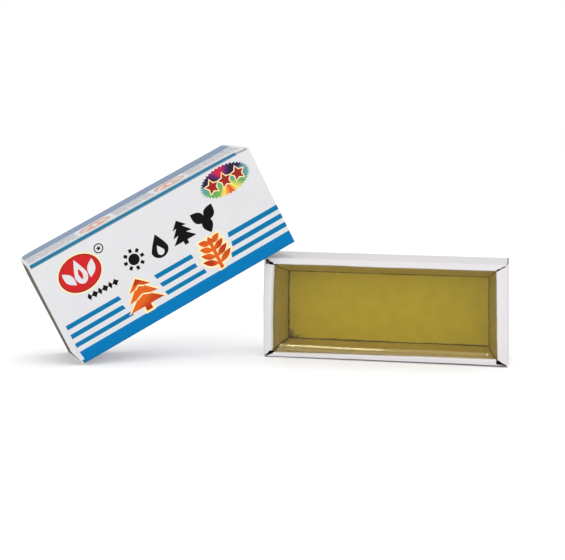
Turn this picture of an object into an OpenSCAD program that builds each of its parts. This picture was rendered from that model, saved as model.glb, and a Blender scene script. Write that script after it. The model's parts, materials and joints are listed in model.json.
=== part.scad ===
// A block of cast rosin in its paperboard tray, with the tray's printed sleeve leaning on one corner.
// The tray stands on one long side. Origin: centre of the face it stands on.
// +X runs along the tray, +Y from its mouth to its floor, +Z up. Millimetres.

/* [Tray] */
// Length of the tray, along X
tray_l = 75; // [65:0.5:90]
// Width of the tray, which stands upright along Z
tray_w = 31.6; // [28:0.2:40]
// Depth of the tray from its rim to its floor, along Y
tray_d = 24; // [18:0.5:28]
// Width of the folded rim around the mouth
rim_w = 2.4; // [2:0.1:3.2]
// How far each inner panel leans in between the rim and the floor
wall_lean = 2.6; // [1.5:0.1:3.5]
// Length of the glue tabs inside the two end walls
tab_l = 12; // [6:0.5:13]
// How far the glue tabs stop short of the rim and of the floor
tab_inset = 1.2; // [0.6:0.1:4]

/* [Board] */
// Thickness of the paperboard
board = 0.45; // [0.35:0.05:0.6]
// Gap left at each cut joint between two strips of board
cut_gap = 0.12; // [0.05:0.01:0.3]

/* [Rosin] */
// How far the rosin's open face lies behind the rim
rosin_sink = 0.8; // [0.3:0.1:3]

/* [Sleeve] */
// How much longer the sleeve is than the tray
sleeve_extra_l = 1; // [0:0.5:3]
// Room left across the tray's width inside the sleeve
play_w = 1; // [0.6:0.1:2]
// Room left across the tray's depth inside the sleeve
play_d = 0.8; // [0.7:0.1:2]
// Width of the sleeve's glue flap
flap_w = 11; // [8:0.5:16]
// Thickness of the glue under the flap
glue_t = 0.1; // [0.05:0.01:0.15]

/* [Leaning sleeve] */
// Turn of the sleeve about the vertical, away from the tray's long axis
sleeve_turn = 28; // [20:1:36]
// Distance along X from the tray's centre to the sleeve's lowest front corner
sleeve_foot_x = 87.4; // [82:0.2:92]
// Distance along Y from the tray's centre forward to that corner
sleeve_foot_y = 42.7; // [40.5:0.2:43.5]
// Clearance between the sleeve's underside and the tray's corner
lean_gap = 0.3; // [0.2:0.05:0.6]

/* [Hidden] */

half_l = tray_l / 2;
half_d = tray_d / 2;
rim_back = -half_d + board;          // rear face of the rim strips
floor_front = half_d - board;        // front face of the floor
wall_depth = floor_front - rim_back; // run of a sloping lining
lining_foot = rim_w + wall_lean;     // lining's inner face at the floor, from the outer face
tab_d = tray_d - 2 * tab_inset;

// How far the end of each rim strip is cut back at its outer edge. Zero is a plain mitre.
open_mitre = 1.2;
short_mitre = 0.6;
square_cut = rim_w;

rosin_front = rim_back + rosin_sink;

sleeve_l = tray_l + sleeve_extra_l;
sleeve_w = tray_w + play_w + 2 * board;
sleeve_d = tray_d + play_d + 2 * board + glue_t;
flap_end_gap = 2;

// The run and the rise from the sleeve's foot to the tray's corner give the angle at which it leans.
corner_run = (sleeve_foot_x - half_l) * cos(sleeve_turn) + (sleeve_foot_y - half_d) * sin(sleeve_turn);
corner_reach = norm([corner_run, tray_w]);
sleeve_lean = atan2(tray_w, corner_run) + asin(lean_gap / corner_reach);

board_white = [0.94, 0.94, 0.93];
board_grey = [0.55, 0.52, 0.49];
rosin_amber = [0.62, 0.54, 0.2, 0.85];
print_blue = [0.02, 0.45, 0.68];

// A wall seen from the mouth: a trapezium of this length, with both ends mitred at 45 degrees.
module mitred(length, depth) {
    polygon([
        [cut_gap, 0],
        [length - cut_gap, 0],
        [length - depth - cut_gap, depth],
        [depth + cut_gap, depth]
    ]);
}

// Puts a wall that is drawn along +X, with its outer face on Z = 0, onto one side of the tray.
module on_side(side) {
    if (side == "lower") translate([-half_l, 0, 0]) children();
    if (side == "upper") translate([half_l, 0, tray_w]) rotate([0, 180, 0]) children();
    if (side == "left") translate([-half_l, 0, tray_w]) rotate([0, 90, 0]) children();
    if (side == "right") translate([half_l, 0, 0]) rotate([0, -90, 0]) children();
}

// Draws a flat outline in the plane of the mouth and gives it a thickness towards the floor.
module standing(y, thickness) {
    translate([0, y + thickness, 0]) rotate([90, 0, 0]) linear_extrude(thickness) children();
}

// One flat strip of the rim, with each end cut back by its own amount at the outer edge.
module rim_strip(length, cut_a, cut_b) {
    standing(-half_d, board) polygon([
        [cut_a + cut_gap, 0],
        [length - cut_b - cut_gap, 0],
        [length - rim_w - cut_gap, rim_w],
        [rim_w + cut_gap, rim_w]
    ]);
}

// One inner panel: a slab of board that leans in from the rim to the floor, mitred at both ends.
module lining(length) {
    intersection() {
        rotate([90, 0, 90]) linear_extrude(length) polygon([
            [rim_back, rim_w - board],
            [rim_back, rim_w],
            [floor_front, lining_foot],
            [floor_front, lining_foot - board]
        ]);
        standing(rim_back, wall_depth) mitred(length, lining_foot + board);
    }
}

// The outer panel of a wall, from behind the rim to the back of the floor.
module outer_wall(length, inset) {
    translate([inset, rim_back, 0]) cube([length - 2 * inset, tray_d - board, board]);
}

// A glue tab: it continues a long wall round the corner, against the inside of an end wall.
module corner_tab() {
    translate([board, -tab_d / 2, board]) cube([board, tab_d, tab_l]);
}

// Puts a piece drawn along +X, with its foot at the origin, where the sleeve leans on the tray.
module leaning() {
    translate([-sleeve_foot_x, -sleeve_foot_y, 0])
        rotate([0, 0, sleeve_turn])
            rotate([0, -sleeve_lean, 0])
                children();
}

module tray_floor() {
    color(board_white)
        translate([board - half_l, floor_front, board])
            cube([tray_l - 2 * board, board, tray_w - 2 * board]);
}

// The end walls cover the ends of the long walls.
module tray_lower_wall() { color(board_white) on_side("lower") outer_wall(tray_l, board); }
module tray_upper_wall() { color(board_white) on_side("upper") outer_wall(tray_l, board); }
module tray_left_wall() { color(board_white) on_side("left") outer_wall(tray_w, 0); }
module tray_right_wall() { color(board_white) on_side("right") outer_wall(tray_w, 0); }

module tray_lower_rim() { color(board_white) on_side("lower") rim_strip(tray_l, 0, square_cut); }
module tray_upper_rim() { color(board_white) on_side("upper") rim_strip(tray_l, 0, open_mitre); }
module tray_left_rim() { color(board_white) on_side("left") rim_strip(tray_w, open_mitre, 0); }
module tray_right_rim() { color(board_white) on_side("right") rim_strip(tray_w, short_mitre, 0); }

module tray_lower_lining() { color(board_white) on_side("lower") lining(tray_l); }
module tray_upper_lining() { color(board_white) on_side("upper") lining(tray_l); }
module tray_left_lining() { color(board_white) on_side("left") lining(tray_w); }
module tray_right_lining() { color(board_white) on_side("right") lining(tray_w); }

module tray_lower_left_tab() {
    color(board_grey) on_side("lower") corner_tab();
}

module tray_upper_left_tab() {
    color(board_grey) translate([0, 0, tray_w]) mirror([0, 0, 1]) on_side("lower") corner_tab();
}

module tray_lower_right_tab() {
    color(board_grey) mirror([1, 0, 0]) on_side("lower") corner_tab();
}

module tray_upper_right_tab() {
    color(board_grey) on_side("upper") corner_tab();
}

// The cake fills the tray between the linings, so it is the meeting of two tapered prisms.
module rosin_cake() {
    lean_rate = wall_lean / wall_depth;
    front_in = rim_w + lean_rate * rosin_sink;
    color(rosin_amber) intersection() {
        linear_extrude(tray_w) polygon([
            [front_in - half_l, rosin_front],
            [half_l - front_in, rosin_front],
            [half_l - lining_foot, floor_front],
            [lining_foot - half_l, floor_front]
        ]);
        translate([-half_l, 0, 0]) rotate([90, 0, 90]) linear_extrude(tray_l) polygon([
            [rosin_front, front_in],
            [floor_front, lining_foot],
            [floor_front, tray_w - lining_foot],
            [rosin_front, tray_w - front_in]
        ]);
    }
}

module sleeve_front_panel() {
    color(board_white) leaning() cube([sleeve_l, board, sleeve_w]);
}

module sleeve_back_panel() {
    color(board_white) leaning() translate([0, sleeve_d - board, 0]) cube([sleeve_l, board, sleeve_w]);
}

module sleeve_top_panel() {
    color(print_blue) leaning() translate([0, board, sleeve_w - board]) sleeve_side();
}

module sleeve_bottom_panel() {
    color(print_blue) leaning() translate([0, board, 0]) sleeve_side();
}

module sleeve_side() {
    cube([sleeve_l, sleeve_d - 2 * board, board]);
}

// The flap folds up from the bottom panel and is glued inside the back panel.
module sleeve_glue_flap() {
    color(board_grey) leaning()
        translate([flap_end_gap, sleeve_d - 2 * board - glue_t, board])
            cube([sleeve_l - 2 * flap_end_gap, board, flap_w]);
}

module sleeve_seam_glue() {
    color("ivory") leaning()
        translate([2 * flap_end_gap, sleeve_d - board - glue_t, board + 1])
            cube([sleeve_l - 4 * flap_end_gap, glue_t, flap_w - 3]);
}

tray_floor();
tray_lower_wall();
tray_upper_wall();
tray_left_wall();
tray_right_wall();
tray_lower_rim();
tray_upper_rim();
tray_left_rim();
tray_right_rim();
tray_lower_lining();
tray_upper_lining();
tray_left_lining();
tray_right_lining();
tray_lower_left_tab();
tray_upper_left_tab();
tray_lower_right_tab();
tray_upper_right_tab();
rosin_cake();
sleeve_front_panel();
sleeve_back_panel();
sleeve_top_panel();
sleeve_bottom_panel();
sleeve_glue_flap();
sleeve_seam_glue();
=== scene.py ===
"""A block of cast rosin in its folded paperboard tray, with the tray's printed sleeve leaning on it.

The CAD frame gives every size and place. Both boxes are rebuilt here as folded board: the tray's four
hollow walls, each one strip from its outer panel over the rim to the sloping lining, and the sleeve as
one printed blank bent round its four creases. Lengths are in metres, and the print is drawn in millimetres.
"""

import json
import math
import random
from types import SimpleNamespace

import bpy
import numpy as np
from mathutils import Matrix, Vector
from mathutils.geometry import delaunay_2d_cdt


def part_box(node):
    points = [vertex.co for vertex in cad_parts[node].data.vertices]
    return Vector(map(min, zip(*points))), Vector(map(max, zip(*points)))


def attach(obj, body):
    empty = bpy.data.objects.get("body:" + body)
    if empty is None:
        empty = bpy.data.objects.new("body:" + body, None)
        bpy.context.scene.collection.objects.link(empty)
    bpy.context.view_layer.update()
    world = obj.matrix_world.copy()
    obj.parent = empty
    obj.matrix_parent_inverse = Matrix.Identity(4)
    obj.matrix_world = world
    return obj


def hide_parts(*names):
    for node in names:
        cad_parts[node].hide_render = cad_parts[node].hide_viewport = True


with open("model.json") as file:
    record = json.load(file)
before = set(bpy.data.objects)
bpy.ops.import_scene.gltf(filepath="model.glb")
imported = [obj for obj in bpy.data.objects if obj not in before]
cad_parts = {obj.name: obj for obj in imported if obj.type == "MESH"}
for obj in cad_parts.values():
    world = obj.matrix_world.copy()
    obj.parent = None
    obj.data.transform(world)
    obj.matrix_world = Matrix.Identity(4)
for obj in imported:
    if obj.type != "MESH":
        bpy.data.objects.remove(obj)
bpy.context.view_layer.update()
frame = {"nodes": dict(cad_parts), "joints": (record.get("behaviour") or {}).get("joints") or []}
MM = 0.001
UV_METRES = 0.1                     # how many metres of the flat blank make one unit of its UV map
SHARP_ANGLE = math.radians(38)      # faces that meet at more than this have a sharp edge between them


# ---- sizes, all read from the frame
def tray_sizes():
    floor_low, floor_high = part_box("tray_floor")
    left_low, left_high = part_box("tray_left_wall")
    right_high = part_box("tray_right_wall")[1]
    rim_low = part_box("tray_lower_rim")[0]
    return SimpleNamespace(
        x0=left_low.x, x1=right_high.x, length=right_high.x - left_low.x,
        z0=left_low.z, z1=left_high.z, width=left_high.z - left_low.z,
        front=rim_low.y, back=floor_high.y, board=floor_high.y - floor_low.y,
        gap=rim_low.x - left_low.x)


TRAY = tray_sizes()
BOARD = TRAY.board


def sleeve_frame():
    """The leaning sleeve's own axes (along, across, up), its lowest corner, and its three sizes."""
    along = Vector(frame["joints"][0]["axis"]).normalized()
    across = Vector((-along.y, along.x, 0)).normalized()
    up = along.cross(across)
    axes = np.array([along, across, up])
    panels = ("sleeve_front_panel", "sleeve_back_panel")
    points = np.array([v.co for n in panels for v in frame["nodes"][n].data.vertices])
    local = points @ axes.T
    return axes, local.min(0) @ axes, local.max(0) - local.min(0)


SLEEVE_AXES, SLEEVE_ORIGIN, SLEEVE_SIZE = sleeve_frame()
SLEEVE_L, SLEEVE_D, SLEEVE_H = SLEEVE_SIZE


# ---- small helpers
def srgb(r, g, b):
    """A colour given in 0 to 255 display values, as Blender's linear values."""
    def one(c):
        c /= 255
        return c / 12.92 if c <= 0.04045 else ((c + 0.055) / 1.055) ** 2.4
    return (one(r), one(g), one(b), 1.0)


def wave(t, seed, cycles=(1, 2, 3, 5, 8)):
    """A smooth wavering between about -1 and 1 along t, the same each run for one seed."""
    rng = random.Random(seed)
    total, weight = 0, 0
    for c in cycles:
        a, phase = rng.uniform(0.5, 1) / math.sqrt(c), rng.uniform(0, math.tau)
        total = total + a * np.sin(math.tau * c * t + phase)
        weight += a
    return total / weight


def smoothstep(x, low, high):
    t = np.clip((x - low) / (high - low), 0, 1)
    return t * t * (3 - 2 * t)


def spot(x, z, at, spread):
    """A soft spot: 1 at its middle and 0 far away, with its own spread along x and z."""
    return np.exp(-((x - at[0]) / spread[0]) ** 2 - ((z - at[1]) / spread[1]) ** 2)


def in_mm(**sides):
    """A length for each side of the tray, given in millimetres."""
    return {side: length * MM for side, length in sides.items()}


def graded(length, first, growth=1.5, widest=2.0 * MM):
    """Distances from 0 to length, in steps that grow from both ends towards the middle."""
    ends, step = [0.0], first
    while ends[-1] + step < length / 2:
        ends.append(ends[-1] + step)
        step = min(step * growth, widest)
    return np.array(ends + [length / 2] + [length - e for e in reversed(ends)])


def new_piece(name, points, faces, materials, face_slots, body, replaced, normals=None):
    mesh = bpy.data.meshes.new(name)
    mesh.from_pydata([tuple(p) for p in points], [], faces)
    for m in materials:
        mesh.materials.append(m)
    mesh.polygons.foreach_set("material_index", np.asarray(face_slots, np.int32))
    mesh.polygons.foreach_set("use_smooth", np.ones(len(mesh.polygons), bool))
    mesh.update()
    if normals is None:
        mesh.set_sharp_from_angle(angle=SHARP_ANGLE)
    else:
        mesh.normals_split_custom_set(normals)
    piece = bpy.data.objects.new(name, mesh)
    bpy.context.scene.collection.objects.link(piece)
    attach(piece, body)
    if replaced:
        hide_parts(*replaced)
    return piece


def set_attribute(piece, name, values):
    attribute = piece.data.attributes.new(name, "FLOAT", "POINT")
    attribute.data.foreach_set("value", np.asarray(values, np.float32))


# ---- materials
class Nodes:
    """A material's node tree, with short calls for the few nodes that are used here."""

    def __init__(self, name):
        self.material = bpy.data.materials.new(name)
        self.material.use_nodes = True
        self.tree = self.material.node_tree
        self.shader = self.tree.nodes["Principled BSDF"]
        self.place = self.add("TexCoord").outputs["Object"]

    def feed(self, socket, value):
        """Gives a socket its value, which may be another node's output."""
        if isinstance(value, bpy.types.NodeSocket):
            self.tree.links.new(value, socket)
        else:
            socket.default_value = value

    def add(self, kind, inputs=None, **settings):
        """A new node, with its settings and then its inputs by name or number."""
        node = self.tree.nodes.new("ShaderNode" + kind)
        for key, value in settings.items():
            setattr(node, key, value)
        for key, value in (inputs or {}).items():
            self.feed(node.inputs[key], value)
        return node

    def set(self, **values):
        """Feeds the shader's own sockets, named with _ for each space."""
        for key, value in values.items():
            self.feed(self.shader.inputs[key.replace("_", " ")], value)

    def noise(self, scale, detail=3.0, rough=0.55, stretch=None):
        """Noise with this many cycles per metre, stretched by a factor on each axis if asked."""
        place = self.place
        if stretch:
            place = self.add("Mapping", {"Vector": place, "Scale": stretch}).outputs["Vector"]
        inputs = {"Vector": place, "Scale": scale, "Detail": detail, "Roughness": rough}
        return self.add("TexNoise", inputs).outputs["Fac"]

    def ramp(self, fac, stops):
        node = self.add("ValToRGB", {"Fac": fac})
        elements = node.color_ramp.elements
        while len(elements) < len(stops):
            elements.new(0.5)
        for element, (position, colour) in zip(elements, stops):
            element.position = position
            element.color = colour
        return node.outputs["Color"]

    def mix(self, fac, a, b, blend="MIX"):
        return self.add("Mix", {0: fac, 6: a, 7: b}, data_type="RGBA", blend_type=blend).outputs[2]

    def math(self, operation, a, b=0.0, clamp=False):
        return self.add("Math", {0: a, 1: b}, operation=operation, use_clamp=clamp).outputs[0]

    def attribute(self, name):
        return self.add("Attribute", attribute_name=name).outputs["Fac"]

    def roughness(self, fac, low, high):
        node = self.add("MapRange", {"Value": fac, "To Min": low, "To Max": high})
        self.set(Roughness=node.outputs["Result"])

    def bump(self, height, depth, under=None):
        """Raises the surface by height times depth metres, on top of the bump under it."""
        inputs = {"Strength": 1.0, "Distance": depth, "Height": height}
        if under is not None:
            inputs["Normal"] = under
        normal = self.add("Bump", inputs).outputs["Normal"]
        self.set(Normal=normal)
        return normal


def tinted(colour, factor):
    return (colour[0] * factor, colour[1] * factor, colour[2] * factor, 1.0)


def coated_board(name, colour, gloss=0.42, mottle=0.03, other=None):
    """The clay-coated or printed side of the board: a faint fibre grain under a satin coat. A second colour
    shows in soft patches.
    """
    m = Nodes(name)
    cloud = m.noise(190, 4.0)
    grain = m.noise(5200, 2.0, stretch=(0.35, 1, 1))
    shade = m.mix(cloud, tinted(colour, 1 - mottle), tinted(colour, 1 + mottle))
    if other is not None:
        shade = m.mix(m.ramp(m.noise(140, 1.0), [(0.42, (0, 0, 0, 1)), (0.58, (1, 1, 1, 1))]), shade, other)
    speck = m.ramp(grain, [(0.0, (0.955, 0.955, 0.955, 1)), (0.55, (1, 1, 1, 1))])
    m.set(Base_Color=m.mix(1.0, shade, speck, "MULTIPLY"))
    m.roughness(cloud, gloss - 0.06, gloss + 0.1)
    m.set(Specular_IOR_Level=0.06)
    m.bump(grain, 0.000012, m.bump(cloud, 0.00006))
    return m.material


def grey_board(name, colour):
    """Bare grey board: recycled pulp with fine fibres and darker and paler flecks."""
    m = Nodes(name)
    cloud = m.noise(150, 5.0)
    fibre = m.noise(2600, 4.0, 0.7, stretch=(0.25, 1, 1))
    fleck = m.noise(1300, 1.0)
    base = m.mix(cloud, tinted(colour, 0.86), tinted(colour, 1.12))
    base = m.mix(fibre, tinted(colour, 0.78), base)
    flecks = m.ramp(fleck, [(0.0, (0.5, 0.48, 0.46, 1)), (0.27, (0.62, 0.6, 0.58, 1)), (0.31, (1, 1, 1, 1)),
                            (0.72, (1, 1, 1, 1)), (0.76, (1.25, 1.24, 1.22, 1))])
    m.set(Base_Color=m.mix(1.0, base, flecks, "MULTIPLY"))
    m.roughness(fibre, 0.78, 0.95)
    m.bump(fibre, 0.00004, m.bump(cloud, 0.00008))
    return m.material


def lining_board(name, dry, shade_grey, soaked):
    """White board inside the tray, coloured by two attributes. The first is the distance from the fold over
    each side's span: the board is white at the fold, then has a pale cream line, then a grey band of painted
    shade just inside it, and is stained through where the rosin covers it. The second is the dark line along
    the joints: rosin that has crept into them, with painted shade for their crevices.
    """
    m = Nodes(name)
    cloud = m.noise(240, 4.0)
    grain = m.noise(4200, 2.0, stretch=(0.35, 1, 1))
    drift = m.math("MULTIPLY", m.math("SUBTRACT", cloud, 0.5), 0.06)
    reach = m.math("ADD", m.attribute("stain_and_shade"), drift)
    stain = m.mix(cloud, tinted(soaked, 0.88), tinted(soaked, 1.12))
    cream = srgb(246, 238, 212)
    # white at the fold, then a pale cream line, then a grey band of painted shade just inside the fold
    edge = m.ramp(reach, [(0.0, dry), (0.05, dry), (0.09, cream), (0.13, cream), (0.18, shade_grey), (0.3, shade_grey)])
    board = m.mix(m.ramp(reach, [(0.16, (0, 0, 0, 1)), (0.5, (1, 1, 1, 1))]), edge, stain)
    # the dark joint lines: rosin crept into the joints, with painted shade for their crevices
    seam_and_shade_mask = m.math("MULTIPLY", m.attribute("seam"), m.math("ADD", m.noise(900, 2.0), 0.45), clamp=True)
    m.set(Base_Color=m.mix(seam_and_shade_mask, board, srgb(72, 42, 6)))
    m.roughness(cloud, 0.4, 0.55)
    m.bump(grain, 0.000012, m.bump(cloud, 0.00005))
    return m.material


def rosin_glass(name):
    """Clear cast rosin: glass-like, and it takes up blue light first, so depth turns it olive amber."""
    m = Nodes(name)
    m.set(Base_Color=(1.0, 0.985, 0.94, 1.0), Roughness=0.045, IOR=1.54, Transmission_Weight=1.0,
          Specular_Tint=(1.0, 0.94, 0.62, 1.0))
    absorb = m.add("VolumeAbsorption", {"Color": (0.98, 0.953, 0.03, 1.0), "Density": 72.0})
    m.feed(m.tree.nodes["Material Output"].inputs["Volume"], absorb.outputs["Volume"])
    m.bump(m.noise(120, 2.0), 0.000012)
    return m.material


WHITE = srgb(209, 206, 208)
# a grey that paints the shade on the lining just inside the tray's folds
SHADE_GREY = srgb(160, 150, 136)
MATERIALS = {
    "white": coated_board("board_coated_white", WHITE),
    "grey": grey_board("board_bare_grey", srgb(142, 134, 126)),
    "core": grey_board("board_cut_edge", srgb(138, 130, 122)),
    # a dark grey that paints the contact shadow at the foot of the lower wall's front fold
    "painted_contact_shadow": grey_board("board_fold_painted_contact_shadow", srgb(92, 87, 85)),
    "lining": lining_board("board_soaked_lining_painted_shade", WHITE, SHADE_GREY, srgb(217, 200, 134)),
    # a lighter copy of the lining for the lower wall, painted light for the extra light that wall gets
    "lit_lower_lining": lining_board("board_soaked_lower_lining_painted_light", WHITE, SHADE_GREY, srgb(238, 216, 158)),
    "floor": lining_board("board_soaked_floor_painted_shade", WHITE, SHADE_GREY, srgb(230, 214, 130)),
    "rosin": rosin_glass("rosin_clear_amber"),
    "paper": coated_board("board_printed_white", srgb(206, 206, 208), 0.4),
    "glue": coated_board("dried_glue", srgb(226, 214, 184), 0.3),
}
# Each ink's material, its colour, how mottled it is, and a second colour if it has one.
INK_COLOURS = {
    "blue": ("ink_blue", (0, 110, 168), 0.06),
    "stripe": ("ink_stripe_blue", (2, 108, 156), 0.08),
    "teal": ("ink_teal", (24, 108, 136), 0.08),
    "black": ("ink_black", (14, 13, 15), 0.03),
    "rule": ("ink_grey_rule", (150, 152, 158), 0.03),
    # a paler blue for the narrow panels' blue print, which paints its grazing reflection
    "painted_sheen_blue": ("ink_blue_painted_sheen", (114, 134, 160), 0.1),
    "salmon": ("ink_pale_orange", (206, 146, 118), 0.1, (190, 164, 148)),
    "orange": ("ink_orange_red", (168, 46, 22), 0.08, (208, 92, 30)),
    "cream": ("ink_cream", (240, 218, 164), 0.03),
    "red": ("ink_red", (190, 34, 36), 0.08),
    "maroon": ("ink_maroon", (146, 40, 36), 0.08),
}
for ink, (title, ink_colour, mottling, *second) in INK_COLOURS.items():
    patches = srgb(*second[0]) if second else None
    MATERIALS[ink] = coated_board(title, srgb(*ink_colour), 0.4, mottling, patches)


# ---- the tray's folded walls
FOLD_R = 0.6 * MM       # the outer radius of the fold between a wall and its rim
BACK_R = 0.5 * MM       # the outer radius of the fold between a wall and the floor
FOOT_GAP = 0.3 * MM     # between a lining's cut edge and the floor
SEAM_W = 0.36 * MM      # the width of the dark line along each joint: rosin, with painted shade for its crevice
KNOT = 9.0 * MM         # how far from the lower left corner the joints' dark lines of rosin and painted shade are thick
CLOT = 2.6 * MM         # how far the floor's dark joint line of rosin and painted shade spreads into a clot at its lower left corner
CONTACT_SHADOW_RISE = 0.42 * MM       # how far up its front fold the lower wall is painted dark, as painted contact shadow
COCKLE = 0.08 * MM      # how far the floor is cockled
ARC_STEPS = 7
# The worn tray's ends are out of square: how far each has moved along x at its foot, middle and top.
SWAY = {"left": (-0.39 * MM, -0.85 * MM, -0.63 * MM), "right": (0.68 * MM, 0.17 * MM, -0.33 * MM)}

WALL_DEPTH = TRAY.back - TRAY.front - 2 * BOARD
RIMS = in_mm(lower=2.0, upper=2.15, left=2.95, right=3.4)          # the rim's width
TAPERS = in_mm(lower=1.0, upper=0.0, left=-0.6, right=0.45)        # how much it widens along its length
LEANS = in_mm(lower=1.6, upper=2.2, left=2.2, right=1.7)           # how far the lining leans in at the floor
RIM_RADII = in_mm(lower=0.5, upper=0.5, left=1.1, right=0.6)       # the fold between the rim and the lining
STAIN_AND_SHADE_SPANS = in_mm(lower=5.0, upper=5.0, left=8.5, right=6.0)      # the depth over which the stain and painted-shade distance goes to 1


def lean_angle(side):
    return math.atan2(LEANS[side], WALL_DEPTH)


def lining_inset(side, y):
    """How far the lining's visible face lies inside the wall's outer face, at depth y."""
    return RIMS[side] + LEANS[side] * (y - TRAY.front - BOARD) / WALL_DEPTH


def swayed(points):
    """Tray points moved along x with the ends' sway, by each point's height and its share of the length."""
    points = np.array(points, float)
    h = np.clip((points[:, 2] - TRAY.z0) / TRAY.width, 0, 1)
    share = np.clip((points[:, 0] - TRAY.x0) / TRAY.length, 0, 1)
    curve = ((1 - h) * (1 - 2 * h), 4 * h * (1 - h), h * (2 * h - 1))
    left, right = (sum(w * s for w, s in zip(curve, SWAY[end])) for end in ("left", "right"))
    points[:, 0] += left + (right - left) * share
    return points


def arc(centre, radius, start, end):
    """Points (y, s) and normals round an arc, given in degrees."""
    rows = []
    for i in range(ARC_STEPS + 1):
        a = math.radians(start + (end - start) * i / ARC_STEPS)
        n = (math.cos(a), math.sin(a))
        rows.append((centre[0] + radius * n[0], centre[1] + radius * n[1], *n))
    return rows


def straight(start, end, normal, shares):
    """Points at these shares of the way from start to end."""
    return [(start[0] + (end[0] - start[0]) * t, start[1] + (end[1] - start[1]) * t, *normal) for t in shares]


def even(count):
    """The inner marks of a length in equal parts."""
    return [i / count for i in range(1, count)]


def wall_profile(side):
    """The visible skin of a folded wall as rows (y, s, normal y, normal s), and each row's region."""
    front, back = TRAY.front, TRAY.back
    lean = lean_angle(side)
    rows = arc((back - BACK_R, BACK_R), BACK_R, 0, -90)
    rows += straight((back - BACK_R, 0), (front + FOLD_R, 0), (0, -1), even(10))
    region = ["panel"] * len(rows)
    fold = arc((front + FOLD_R, FOLD_R), FOLD_R, -90, -180)
    rows += fold
    region += ["fold"] * len(fold)
    radius = RIM_RADII[side]
    rim_centre = (front + radius, lining_inset(side, front + radius) - radius / math.cos(lean))
    flat = straight((front, FOLD_R), (front, rim_centre[1]), (-1, 0), even(4))
    inner = arc(rim_centre, radius, 180, 90 + math.degrees(lean))
    rows += flat + inner
    region += ["rim"] * len(flat) + ["bend"] * len(inner)
    foot_y = back - BOARD - FOOT_GAP
    start, end = inner[-1][:2], (foot_y, lining_inset(side, foot_y))
    span = math.dist(start, end)
    slope = straight(start, end, (-math.sin(lean), math.cos(lean)), graded(span, 0.1 * MM, 1.4)[1:] / span)
    rows += slope
    region += ["lining"] * len(slope)
    return np.array(rows), region


def end_cut(profile, region, panel_start, side, neighbour, cut, gap, seed):
    """Where the strip starts, row by row, at the end that meets its neighbour. Across the rim it runs from
    gap + cut at the outer fold to gap + the neighbour's rim at the inner one: a cut of 0 is a full mitre.
    """
    rng = random.Random(seed)
    rim = RIMS[neighbour]
    starts = []
    for (y, s, _, _), kind in zip(profile, region):
        across_rim = gap + cut + (rim - cut) * min(max(s / RIMS[side], 0), 1)
        if kind == "panel":
            starts.append(panel_start)
        elif kind == "fold":
            share = min(max(s / FOLD_R, 0), 1) ** 2
            starts.append(panel_start + (across_rim - panel_start) * share)
        elif kind == "rim":
            starts.append(across_rim + rng.uniform(-0.05, 0.05) * MM)
        else:
            depth = (y - TRAY.front) / (1.6 * MM)
            mitre = lining_inset(neighbour, y) + TRAY.gap * 0.5
            starts.append(mitre + max(across_rim - rim, 0) * max(1 - depth, 0))
    return np.array(starts)


# Each side's length, the sides at its two ends, and the place of a point t along it and s inside it.
SIDES = {
    "lower": (TRAY.length, "left", "right", lambda t, y, s: (TRAY.x0 + t, y, TRAY.z0 + s)),
    "upper": (TRAY.length, "right", "left", lambda t, y, s: (TRAY.x1 - t, y, TRAY.z1 - s)),
    "left": (TRAY.width, "upper", "lower", lambda t, y, s: (TRAY.x0 + s, y, TRAY.z1 - t)),
    "right": (TRAY.width, "lower", "upper", lambda t, y, s: (TRAY.x1 - s, y, TRAY.z0 + t)),
}


def joint_dark(distance, seed, along, thick=1.0):
    """How dark a joint is at a distance from it: it wavers in width along its length."""
    width = SEAM_W * thick * (1 + 0.45 * wave(along, seed, (2, 5, 9)))
    return 1 - smoothstep(distance, 0.45 * width, 1.25 * width)


def grid_faces(n, m):
    """The quads of a grid with n points along and m rows, and the point numbers round its border."""
    quads = [(j * n + i, j * n + i + 1, (j + 1) * n + i + 1, (j + 1) * n + i)
             for j in range(m - 1) for i in range(n - 1)]
    border = list(range(n)) + [j * n + n - 1 for j in range(1, m)]
    border += [(m - 1) * n + j for j in range(n - 2, -1, -1)] + [j * n for j in range(m - 2, 0, -1)]
    return quads, border


def sheet_faces(n, m, outer_slots, inner_slot, edge_slot):
    """The faces and slots of a closed sheet: n by m points on one skin, and then as many on the other."""
    quads, border = grid_faces(n, m)
    under = n * m
    faces = quads + [tuple(k + under for k in quad[::-1]) for quad in quads]
    faces += [(b, a, a + under, b + under) for a, b in zip(border, border[1:] + border[:1])]
    return faces, [*outer_slots] + [inner_slot] * len(quads) + [edge_slot] * len(border)


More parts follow.
